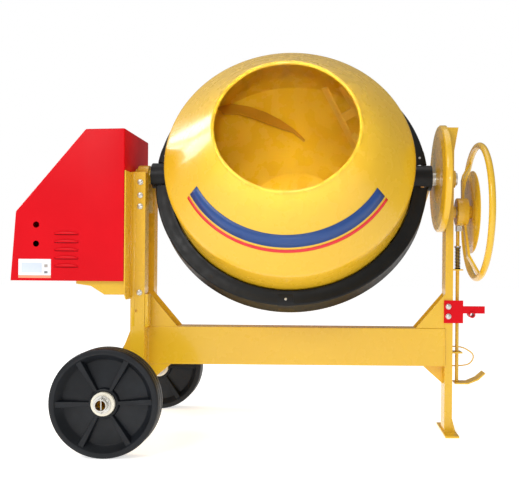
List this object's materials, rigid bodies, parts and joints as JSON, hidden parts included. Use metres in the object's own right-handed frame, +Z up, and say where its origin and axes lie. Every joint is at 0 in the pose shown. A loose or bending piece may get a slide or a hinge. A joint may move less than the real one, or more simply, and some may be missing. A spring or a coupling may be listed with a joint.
{
  "type": "concrete mixer",
  "caption": "Tilting-drum concrete mixer on two wheels and a foot, with geared drum, belt drive in a red housing, and a handwheel with a pedal brake.",
  "frame": {"origin": "on the ground, under the centre of the whole machine's box", "axes": "+X along the machine towards the handwheel, -Y the side the drum's mouth looks to, +Z up"},
  "size_m": [1.796, 0.9314, 1.4995],
  "materials": {
    "yellow_paint": "gloss",
    "red_paint": "gloss",
    "black_plastic": "satin",
    "wheel_plastic": "satin",
    "white_nylon": "satin",
    "bright_steel": "satin",
    "cast_iron": "rough",
    "black_steel": "satin",
    "grey_paint": "satin",
    "belt_rubber": "matte"
  },
  "bodies": {
    "frame": {"main_beam": "yellow_paint", "left_front_post": "yellow_paint", "left_rear_post": "yellow_paint", "right_column": "yellow_paint", "left_gussets": "yellow_paint", "right_gussets": "yellow_paint", "axle_plates": "yellow_paint", "axle_tube": "yellow_paint", "wheel_retainers": "bright_steel", "foot_plate": "yellow_paint", "drive_plate": "yellow_paint", "motor_shelf": "yellow_paint", "motor_body": "grey_paint", "motor_fan_cover": "black_plastic", "housing_cover": "red_paint", "drive_belt": "belt_rubber", "bearing_saddle": "yellow_paint", "left_bearing_block": "yellow_paint", "right_bearing": "yellow_paint", "handwheel_bearing": "yellow_paint", "frame_bolts": "bright_steel", "tow_bracket": "red_paint", "cable_hook": "yellow_paint", "rod_guides": "yellow_paint"},
    "yoke": {"yoke_left_arm": "yellow_paint", "yoke_right_arm": "yellow_paint", "yoke_cross_bar": "yellow_paint", "spindle_bearing": "yellow_paint", "left_trunnion": "yellow_paint", "right_trunnion": "bright_steel", "tilt_dish": "yellow_paint", "tilt_gear": "cast_iron", "gear_guard": "black_plastic", "guard_bosses": "black_plastic"},
    "drum": {"drum_cone": "yellow_paint", "drum_bowl": "yellow_paint", "drum_base": "yellow_paint", "drum_spindle": "bright_steel", "ring_gear": "cast_iron", "fork_blades": "yellow_paint", "curved_fin": "yellow_paint"},
    "drive": {"drive_pinion": "cast_iron", "pinion_shaft": "bright_steel", "driven_pulley": "cast_iron"},
    "motor_rotor": {"motor_pulley": "cast_iron"},
    "handwheel": {"handwheel_rim": "yellow_paint", "handwheel_spokes": "yellow_paint", "handwheel_hub": "yellow_paint", "handwheel_disc": "yellow_paint", "handwheel_shaft": "bright_steel", "tilt_pinion": "cast_iron"},
    "brake": {"brake_pedal": "yellow_paint", "brake_rod": "yellow_paint", "brake_shoe": "bright_steel", "brake_spring": "black_steel", "spring_collar": "bright_steel"},
    "front_wheel_set": {"front_wheel": "wheel_plastic", "front_hub_bush": "white_nylon"},
    "rear_wheel_set": {"rear_wheel": "wheel_plastic", "rear_hub_bush": "white_nylon"}
  },
  "joints": [
    {"name": "drum_tilt", "type": "hinge", "parent": "frame", "child": "yoke", "pos_m": [0.135, 0, 0.993], "axis": [1, 0, 0], "range_deg": [-69, 66]},
    {"name": "drum_spin", "type": "hinge", "parent": "yoke", "child": "drum", "pos_m": [0.135, 0, 0.993], "axis": [0, -0.9336, 0.3584], "continuous": true},
    {"name": "pinion_spin", "type": "hinge", "parent": "yoke", "child": "drive", "pos_m": [-0.3585, 0, 0.993], "axis": [1, 0, 0], "continuous": true},
    {"name": "motor_spin", "type": "hinge", "parent": "frame", "child": "motor_rotor", "pos_m": [-0.53, 0, 0.691], "axis": [1, 0, 0], "continuous": true},
    {"name": "handwheel_turn", "type": "hinge", "parent": "frame", "child": "handwheel", "pos_m": [0.843, 0, 0.8635], "axis": [1, 0, 0], "range_deg": [-282, 270]},
    {"name": "brake_slide", "type": "slide", "parent": "frame", "child": "brake", "axis": [0, 0, 1], "range_m": [-0.025, 0], "stiffness_N_per_m": 2000, "springref_m": 0.02, "deforming": ["brake_spring"]},
    {"name": "front_wheel_spin", "type": "hinge", "parent": "frame", "child": "front_wheel_set", "pos_m": [-0.469, -0.3775, 0.185], "axis": [0, 1, 0], "continuous": true},
    {"name": "rear_wheel_spin", "type": "hinge", "parent": "frame", "child": "rear_wheel_set", "pos_m": [-0.469, 0.3775, 0.185], "axis": [0, 1, 0], "continuous": true}
  ],
  "couplings": [
    {"joint": "pinion_spin", "follows": "drum_spin", "ratio": -11.75},
    {"joint": "motor_spin", "follows": "drum_spin", "ratio": -47},
    {"joint": "handwheel_turn", "follows": "drum_tilt", "ratio": 4.0833}
  ]
}
